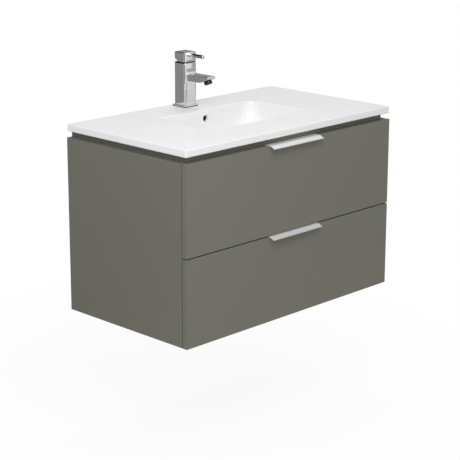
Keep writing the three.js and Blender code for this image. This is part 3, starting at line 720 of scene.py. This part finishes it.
def addOverflow(piece):
    # the duct's run under the bowl to the waste, its bore behind the bowl, and the hole in the bowl
    size = basinSize
    top = basinHigh.z
    radius, wall, thickness = size["overflow"] * mm, size["ductWall"] * mm, size["ductThickness"] * mm
    half = size["ductWidth"] / 2 * mm
    bowlBack = (bowlMiddle + bowlLength / 2) * mm
    ductBack = bowlBack + size["wall"] * mm + thickness
    casingBack = ductBack + wall
    bossBottom = top - (floorDrop + size["bossDepth"]) * mm
    deckUnder = top - size["deck"] * mm
    bowlUnder = top - (floorDrop + size["wall"]) * mm
    holeHeight = top - size["overflowDrop"] * mm
    floor = bossBottom + wall
    bite = 1 * mm  # how far joined solids reach into each other

    def ductBlock(name, reach, ys, zs):
        return newBlock(name, (-reach, ys[0], zs[0]), (reach, ys[1], zs[1]))

    def onBack(edge):
        return all(abs(vert.co.y - casingBack) < tiny for vert in edge.verts)

    casingFront = bowlBack - size["casingReach"] * mm
    casing = ductBlock("casing", half + wall, (casingFront, casingBack), (bossBottom, deckUnder + bite))
    roundEdges(casing, size["casingEdge"] * mm, 3, onBack)
    tunnel = ductBlock("tunnel", half + wall, (bowlMiddle * mm, ductBack), (bossBottom, bowlUnder + bite))
    boolean(casing, tunnel, "UNION")
    boolean(casing, bowlHollow(), "DIFFERENCE")
    boolean(piece, casing, "UNION")
    bore = ductBlock("bore", half, (ductBack - thickness, ductBack), (floor, holeHeight + radius))
    boolean(piece, bore, "DIFFERENCE")
    under = ductBlock("under", half, (bowlMiddle * mm, ductBack), (floor, floor + thickness))
    boolean(piece, under, "DIFFERENCE")
    holeFront = bowlBack - size["overflowReach"] * mm
    hole = rodAlong("hole", radius, (0, holeFront, holeHeight), (0, ductBack - bite, holeHeight))
    boolean(piece, hole, "DIFFERENCE")

    def onRim(edge):
        spots = [vert.co for vert in edge.verts]
        onHole = all(abs(math.hypot(spot.x, spot.z - holeHeight) - radius) < 2 * tiny for spot in spots)
        inBowl = all(spot.y < bowlBack + bite for spot in spots)
        return onHole and inBowl and abs(spots[0].y - spots[1].y) < 2 * bite

    roundEdges(piece, size["overflowEdge"] * mm, 3, onRim)


stemLow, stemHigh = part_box("tap_stem")
tapY = (stemLow.y + stemHigh.y) / 2


def drill(piece, radius, low, high, points=64):  # a hole about the tap's upright axis
    rod = rodAlong("hole", radius * mm, (0, tapY, low), (0, tapY, high), points)
    boolean(piece, rod, "DIFFERENCE")


basin = loft("ceramic_basin", basinOutlines(), "ring")
addOverflow(basin)
tapHoleLow, tapHoleHigh = (basinHigh.z + reach * mm for reach in basinSize["tapHoleSpan"])
drill(basin, basinSize["tapHole"], tapHoleLow, tapHoleHigh, 48)
finishPiece(basin, "white_ceramic", "cabinet", ["basin"], angle=32)
print("basin cast:", len(basin.data.polygons), "faces")


# Waste plug: a domed cap on its stem

plugSize = {
    "radius": 31, "stem": 4, "stemEase": 0.8, "stemRoot": 3, "stemLength": 44,
    "dome": [  # radius, height over the stem
        (30.9, 1.4), (30, 2.1), (28, 2.7), (24, 3.2), (18, 3.7), (10, 4.2), (3, 4.45), (0.5, 4.5),
    ],
}


def addPlug():
    low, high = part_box("waste_plug")
    centre = (low + high) / 2
    radius, stem, root, length = (plugSize[key] for key in ("radius", "stem", "stemRoot", "stemLength"))
    plug = turnedPiece("waste_plug_cap", [
        (stem - plugSize["stemEase"], 0), (stem, plugSize["stemEase"]), (stem, length - root),
        (stem + root, length - 0.4), (radius - 1, length), (radius, length + 0.6),
        *((across, length + up) for across, up in plugSize["dome"]),
    ], (centre.x, centre.y, low.z), 64)
    finishPiece(plug, "chrome", "waste_plug", ["waste_plug"], angle=50)


addPlug()
print("plug turned")


# Mixer tap: foot plate, column with spout, aerator, head and lever

tapSize = {
    "upright": 5.5, "edge": 2.6,
    "spoutWidth": 31, "spoutReach": 81.5, "spoutTop": 90, "spoutDepth": 19.5,
    "spoutTip": 7, "spoutSlant": 30, "spoutRoot": 6, "fillet": 4.5, "spoutEdge": 1.5,
    "columnPocket": 15, "columnPocketDepth": 15,
    "heelLength": 18, "heelHeight": 10, "pocket": 13, "pocketDepth": 12,
}
plateSize = {"corner": 2.0, "edge": 0.8}
# a black seal under the foot plate: partly a real seal, partly painted shade for the contact shadow there
gasketAndShadeSize = {"thickness": 2.2, "inset": 0.3, "corner": 1.6, "edge": 0.2, "hole": 17}
# a black washer on the column: partly a real washer, partly painted shade for the dark gap under the head
washerAndShadeSize = {"thickness": 1.1, "inset": 0.6, "edge": 0.25, "hole": 15.2}
leverSize = {
    "collar": [(6.0, 0), (6.5, 0.4), (6.5, 2.6), (6.1, 3.0)],
    "rod": 5.25, "rodStart": 3.4,
    "tip": [(5.25, 1.2), (5.05, 0.5), (4.6, 0.1), (4.1, 0)],  # radius, distance to the end
}
through = 5 * mm  # how far a cutter runs past the faces it cuts


def addFootPlate():
    low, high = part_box("tap_foot_plate")
    low.z += gasketAndShadeSize["thickness"] * mm
    piece = newBlock("foot_plate", low, high)
    roundEdges(piece, plateSize["corner"] * mm, 4, upright)
    roundEdges(piece, plateSize["edge"] * mm, 3, above(high.z - tiny))
    finishPiece(piece, "chrome", "cabinet", ["tap_foot_plate"])


def addGasketAndShade():  # thin black seal that shows round the foot plate; it is also painted shade, drawing the dark contact shadow under the plate
    low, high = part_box("tap_foot_plate")
    inset = Vector((1, 1, 0)) * gasketAndShadeSize["inset"] * mm
    high.z = low.z + gasketAndShadeSize["thickness"] * mm
    piece = newBlock("foot_gasket_and_shade", low + inset, high - inset)
    roundEdges(piece, gasketAndShadeSize["corner"] * mm, 4, upright)
    roundEdges(piece, gasketAndShadeSize["edge"] * mm, 2, above(high.z - tiny))
    drill(piece, gasketAndShadeSize["hole"], low.z - through, low.z + through)
    finishPiece(piece, "rubber", "cabinet")


def addColumn():
    size = tapSize
    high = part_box("tap_body")[1]
    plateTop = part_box("tap_foot_plate")[1].z
    front = high.y - 2 * high.x  # the column is square
    column = newBlock("tap_column", (-high.x, front, plateTop), high)
    roundEdges(column, size["upright"] * mm, 5, upright)
    roundEdges(column, size["edge"] * mm, 3, above(high.z - tiny))
    half = size["spoutWidth"] / 2 * mm
    tip = front - size["spoutReach"] * mm
    top = plateTop + size["spoutTop"] * mm
    bottom = top - size["spoutDepth"] * mm
    spout = newBlock("spout", (-half, tip, bottom), (half, front + size["spoutRoot"] * mm, top))
    rise = (size["spoutDepth"] - size["spoutTip"]) * mm
    run = size["spoutSlant"] * mm
    sliceOff(spout, (0, tip, top - size["spoutTip"] * mm), (0, -rise, -run))
    roundEdges(spout, size["spoutEdge"] * mm, 3, lambda edge: min(vert.co.y for vert in edge.verts) < front)
    boolean(column, spout, "UNION")

    def onRoot(edge):
        spots = [vert.co for vert in edge.verts]
        inside = all(abs(spot.y - front) < tiny / 2 and abs(spot.x) < half + 2 * tiny for spot in spots)
        return inside and all(bottom - 2 * tiny < spot.z < top + 2 * tiny for spot in spots)

    roundEdges(column, size["fillet"] * mm, 6, onRoot)
    drill(column, size["columnPocket"], high.z - size["columnPocketDepth"] * mm, high.z + 2 * through)
    finishPiece(column, "chrome", "cabinet", ["tap_body"], angle=30)


def addGapWasherAndShade():  # black sliding washer between column and head; it is also painted shade, drawing the dark shadowed gap there
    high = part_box("tap_body")[1]
    half = high.x - washerAndShadeSize["inset"] * mm
    middleY = high.y - high.x
    top = high.z + washerAndShadeSize["thickness"] * mm
    piece = newBlock("gap_washer_and_shade", (-half, middleY - half, high.z), (half, middleY + half, top))
    roundEdges(piece, (tapSize["upright"] - washerAndShadeSize["inset"]) * mm, 5, upright)
    roundEdges(piece, washerAndShadeSize["edge"] * mm, 2, above(top - tiny))
    drill(piece, washerAndShadeSize["hole"], high.z - through, high.z + through)
    finishPiece(piece, "rubber", "cabinet")


def addHead():
    size = tapSize
    low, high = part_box("tap_head")
    piece = newBlock("tap_cap", low, high)
    heelTop = low.z + size["heelHeight"] * mm
    sliceOff(piece, (0, high.y, heelTop), (0, size["heelHeight"], -size["heelLength"]))
    roundEdges(piece, size["upright"] * mm, 5, upright)
    roundEdges(piece, size["edge"] * mm, 3, above(high.z - tiny))
    drill(piece, size["pocket"], low.z - through, low.z + size["pocketDepth"] * mm)
    finishPiece(piece, "chrome", "mixer_head", ["tap_head"], angle=30)


def addLever():
    low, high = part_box("tap_lever")
    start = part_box("tap_head")[0].y
    length = (start - low.y) / mm
    centre = (low + high) / 2
    piece = turnedPiece("lever_rod", [
        *leverSize["collar"],
        (leverSize["rod"], leverSize["rodStart"]),
        *((radius, length - back) for radius, back in leverSize["tip"]),
    ])
    turnAndPlace(piece, (math.pi / 2, 0, 0), (centre.x, start, centre.z))
    finishPiece(piece, "chrome", "mixer_head", ["tap_lever"])


addFootPlate()
addGasketAndShade()
addColumn()
addGapWasherAndShade()
addHead()
addLever()
print("tap built")


# Aerator: a grooved ring and its grille, square to the slanted underside of the spout

aeratorSize = {"radius": 11.5, "length": 10}


def addAerator():
    size = tapSize
    radius, length = aeratorSize["radius"], aeratorSize["length"]
    ring = turnedPiece("aerator_ring", [
        (radius - 3.6, 3 - length), (radius - 3.2, 0.6 - length), (radius - 2.8, -length),
        (radius - 0.9, -length), (radius - 0.3, 0.3 - length), (radius, 1 - length),
        (radius, 5.4 - length), (radius - 0.5, 5.8 - length), (radius - 0.5, 6.4 - length),
        (radius, 6.8 - length), (radius, -0.4),
    ], points=64)
    shallow, deep = 2.2 - length, 1.8 - length
    grille = turnedPiece("aerator_face", [
        (1, shallow), (2.5, shallow), (2.7, deep), (3.1, deep), (3.3, shallow), (5, shallow),
        (5.2, deep), (5.6, deep), (5.8, shallow), (7.6, shallow), (7.7, 3 - length),
    ])
    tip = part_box("tap_body")[0].y
    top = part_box("tap_foot_plate")[1].z + size["spoutTop"] * mm
    drop = (size["spoutDepth"] + size["spoutTip"]) / 2
    slope = math.atan2(size["spoutDepth"] - size["spoutTip"], size["spoutSlant"])
    for part, nodes in ((ring, ["tap_aerator"]), (grille, [])):
        turnAndPlace(part, (-slope, 0, 0), (0, tip + size["spoutSlant"] / 2 * mm, top - drop * mm))
        finishPiece(part, "dark_plastic", "cabinet", nodes)


addAerator()
print("aerator turned")


# The other parts keep their CAD shape, with their edges eased

bodyOf = {node: body for body, nodes in frame["record"]["behaviour"]["bodies"].items() for node in nodes}
easing = {  # millimetres, by the part's material
    "matt_paint": 0.6, "melamine": 0.6, "zinc_steel": 0.25, "dark_plastic": 0.7, "rubber": 0.3,
    "brass": 0.4, "chrome": 0.3,
}


def addEasedCopy(node):
    slot = slotOf[node]
    piece = bpy.data.objects.new("eased_" + node, frame["nodes"][node].data.copy())
    scene.collection.objects.link(piece)
    editPiece(piece)
    bpy.ops.mesh.select_all(action="SELECT")
    bpy.ops.mesh.remove_doubles(threshold=mergeDistance)
    bpy.ops.mesh.dissolve_limited(angle_limit=math.radians(0.5))  # joins flat triangles into faces
    leaveEdit()
    bevelCorners(piece, easing[slot] * mm, 40)
    finishPiece(piece, slot, bodyOf[node], [node])


for node in frame["nodes"]:
    if node not in rebuilt:
        addEasedCopy(node)
print("edges eased")


# Small hardware: screws, and the pads that the drawers close on

hardware = {
    "headRadius": 3.6, "headHeight": 1.9, "recess": 4.2, "recessWidth": 1.0, "recessDepth": 1.2,
    "runnerSheet": 1.2, "runnerScrews": (-90, -240, -405), "pullScrew": (60, -7.5),
    "hangerScrews": (0.3, 0.7),  # shares of the hanger's height
    "padRadius": 4, "padHeight": 1.8, "padInset": 15, "padMargin": 9,
}


def screwHead():  # a domed head with a cross recess, its face towards +Z
    radius, height = hardware["headRadius"], hardware["headHeight"]
    head = turnedPiece("screw", [
        (radius - 0.3, 0), (radius, 0.25), (radius, 0.7), (radius * 0.9, height * 0.68),
        (radius * 0.62, height * 0.92), (radius * 0.3, height),
    ], points=24)
    half, width = hardware["recess"] / 2 * mm, hardware["recessWidth"] / 2 * mm
    floor, top = (height - hardware["recessDepth"]) * mm, (height + 1) * mm
    for halfX, halfY in ((half, width), (width, half)):
        boolean(head, newBlock("recess", (-halfX, -halfY, floor), (halfX, halfY, top)), "DIFFERENCE")
    return head


def pad():
    radius, height = hardware["padRadius"], hardware["padHeight"]
    return turnedPiece("pad", [
        (radius, 0), (radius, height * 0.4), (radius * 0.9, height * 0.75),
        (radius * 0.65, height * 0.95), (radius * 0.25, height),
    ], points=24)


def addCopy(master, name, place, turn, slot, body):
    piece = bpy.data.objects.new(name, master.data.copy())
    scene.collection.objects.link(piece)
    turnAndPlace(piece, [math.radians(angle) for angle in turn], place)
    finishPiece(piece, slot, body)


def fitDrawer(drawer, side, sign):
    low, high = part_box(drawer + "_runner_inner_" + side)
    web = (high.x if sign < 0 else low.x) + sign * hardware["runnerSheet"] * mm
    for number, distance in enumerate(hardware["runnerScrews"]):
        place = (web, distance * mm, (low.z + high.z) / 2)
        name = f"{drawer}_runner_screw_{side}_{number + 1}"
        addCopy(screwMaster, name, place, (0, sign * 90, 0), "zinc_steel", drawer)
    low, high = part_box(drawer + "_front")
    inset = hardware["padInset"] * mm
    for level, height in (("low", low.z + inset), ("high", high.z - inset)):
        place = (sign * (cadBounds[1].x - hardware["padMargin"] * mm), high.y, height)
        addCopy(padMaster, f"{drawer}_pad_{side}_{level}", place, (-90, 0, 0), "dark_plastic", drawer)
    across, down = hardware["pullScrew"]
    place = (sign * across * mm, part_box(drawer + "_handle")[1].y, high.z + down * mm)
    addCopy(screwMaster, f"{drawer}_pull_screw_{side}", place, (-90, 0, 0), "zinc_steel", drawer)


def fitHanger(side):
    low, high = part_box("hanger_" + side)
    for number, share in enumerate(hardware["hangerScrews"]):
        place = ((low.x + high.x) / 2, low.y, low.z + (high.z - low.z) * share)
        addCopy(screwMaster, f"hanger_screw_{side}_{number + 1}", place, (90, 0, 0), "zinc_steel", "cabinet")


screwMaster, padMaster = screwHead(), pad()
for drawer in drawers:
    for side, sign in sides:
        fitDrawer(drawer, side, sign)
for side, sign in sides:
    fitHanger(side)
for master in (screwMaster, padMaster):
    bpy.data.objects.remove(master, do_unlink=True)
print("hardware fitted")


# Studio: floor, background, lamps, cards and camera, in metres and degrees

studio = {
    "ambient": 0.475, "floorHeight": -0.76, "floorSize": 9, "floorGlow": 0.90, "shadowReach": (0.5, 1.5),
    "floorDark": (0.86, 0.86, 0.86), "floorLight": (0.90, 0.90, 0.90), "floorGrain": 40.0,
    "camera": (-2.888, -3.045, 0.908), "pitch": 14.81, "yaw": 45.18,
    "lens": 117.23, "shift": (0.0241, -0.06),
    "aim": (0, -0.23, -0.15), "lampSize": 0.9,
}
white = (1, 1, 1, 1)
lamps = {
    "key": {"place": (-1.8, -1.8, 1.6), "power": 26},
    "front": {"place": (-0.6, -1.6, 1.7), "power": 9.7},
    "left": {"place": (-2.4, -0.5, 1.2), "power": 4.5},
    "back": {"place": (0.7, 0.6, 2.0), "power": 12},
}
cards = {  # seen only in reflections
    "rear": {"place": (0.8, 2.2, -0.1), "size": (7.6, 2.6), "turn": (90, 0), "level": 0.32},
    "above": {"place": (0, 2.2, 2.4), "size": (6.0, 2.4), "turn": (90, 0), "level": 0.02},
    "low": {"place": (-0.8, 1.1, -0.74), "size": (3.6, 2.0), "turn": (0, 0), "level": 0.02},
    "left": {"place": (-2.6, -0.3, 0.1), "size": (1.8, 1.8), "turn": (90, 90), "level": 0.03},
    "right": {"place": (2.3, 0.4, -0.2), "size": (1.5, 2.2), "turn": (90, 90), "level": 0.04},
    "front": {"place": (2.407, -1.093, -0.2), "size": (2.0, 2.4), "turn": (90, 45), "level": 0.50},
    "soft": {
        "place": (-1.116, -1.659, 1.559), "size": (1.7, 0.45), "turn": (52, -40), "level": 18, "corners": 48,
    },
}


def addFloor():
    bpy.ops.object.select_all(action="DESELECT")
    bpy.ops.mesh.primitive_plane_add(size=studio["floorSize"], location=(0, 0, studio["floorHeight"]))
    floor = placed("studio_floor")
    finish = Finish(bpy.data.materials.new("studio floor"))
    grain = finish.noise(finish.place(), studio["floorGrain"])
    color = finish.between(grain, shade(studio["floorDark"]), shade(studio["floorLight"]))
    diffuse = finish.node("ShaderNodeBsdfDiffuse", {}, {"Color": color})
    glow = finish.node("ShaderNodeEmission", {}, {"Color": white, "Strength": 1.0})
    away = finish.node("ShaderNodeVectorMath", {"operation": "LENGTH"}, {0: finish.place()}, "Value")
    near, far = studio["shadowReach"]
    fade = finish.node("ShaderNodeMapRange", {"interpolation_type": "SMOOTHSTEP"}, {
        "Value": away, "From Min": near, "From Max": far, "To Min": studio["floorGlow"], "To Max": 1.0,
    })
    seen = finish.node("ShaderNodeLightPath", output="Is Camera Ray") * fade
    mixed = finish.node("ShaderNodeMixShader", {}, {0: seen, 1: diffuse, 2: glow})
    finish.node("ShaderNodeOutputMaterial", {}, {"Surface": mixed})
    floor.data.materials.append(finish.owner)


def addWorld():
    scene.world = bpy.data.worlds.new("studio")
    sky = Finish(scene.world)
    camera = sky.node("ShaderNodeLightPath", output="Is Camera Ray")
    glossy = sky.node("ShaderNodeLightPath", output="Is Glossy Ray")
    clear = sky.node("ShaderNodeLightPath", output="Is Transmission Ray")
    strength = studio["ambient"] + (camera + glossy + clear) * (1 - studio["ambient"])
    light = sky.node("ShaderNodeBackground", {}, {"Color": white, "Strength": strength})
    sky.node("ShaderNodeOutputWorld", {}, {"Surface": light})


def addCard(name, place, size, turn, level, corners=4):
    bpy.ops.object.select_all(action="DESELECT")
    if corners > 4:
        bpy.ops.mesh.primitive_circle_add(vertices=corners, radius=0.5, fill_type="NGON")
    else:
        bpy.ops.mesh.primitive_plane_add(size=1)
    card = bpy.context.object
    card.scale = (size[0], size[1], 1)
    card.rotation_euler = (math.radians(turn[0]), 0, math.radians(turn[1]))
    card.location = place
    placed("card_" + name)
    finish = Finish(bpy.data.materials.new("card " + name))
    glow = finish.node("ShaderNodeEmission", {}, {"Color": white, "Strength": level})
    finish.node("ShaderNodeOutputMaterial", {}, {"Surface": glow})
    card.data.materials.append(finish.owner)
    card.visible_camera = False
    card.visible_diffuse = False
    card.visible_transmission = False
    card.visible_shadow = False


def addLamp(name, place, power):
    bpy.ops.object.light_add(type="AREA", location=place)
    lamp = bpy.context.object
    lamp.name = name
    lamp.data.size = studio["lampSize"]
    lamp.data.energy = power
    lamp.visible_glossy = False
    lamp.rotation_euler = (Vector(studio["aim"]) - Vector(place)).to_track_quat("-Z", "Y").to_euler()


def addCamera():
    bpy.ops.object.camera_add(location=studio["camera"])
    camera = bpy.context.object
    camera.rotation_euler = (math.radians(90 - studio["pitch"]), 0, -math.radians(studio["yaw"]))
    camera.data.lens = studio["lens"]
    camera.data.shift_x, camera.data.shift_y = studio["shift"]
    scene.camera = camera


addFloor()
addWorld()
for name, lamp in lamps.items():
    addLamp(name, **lamp)
for name, card in cards.items():
    addCard(name, **card)
addCamera()
print("studio lit")
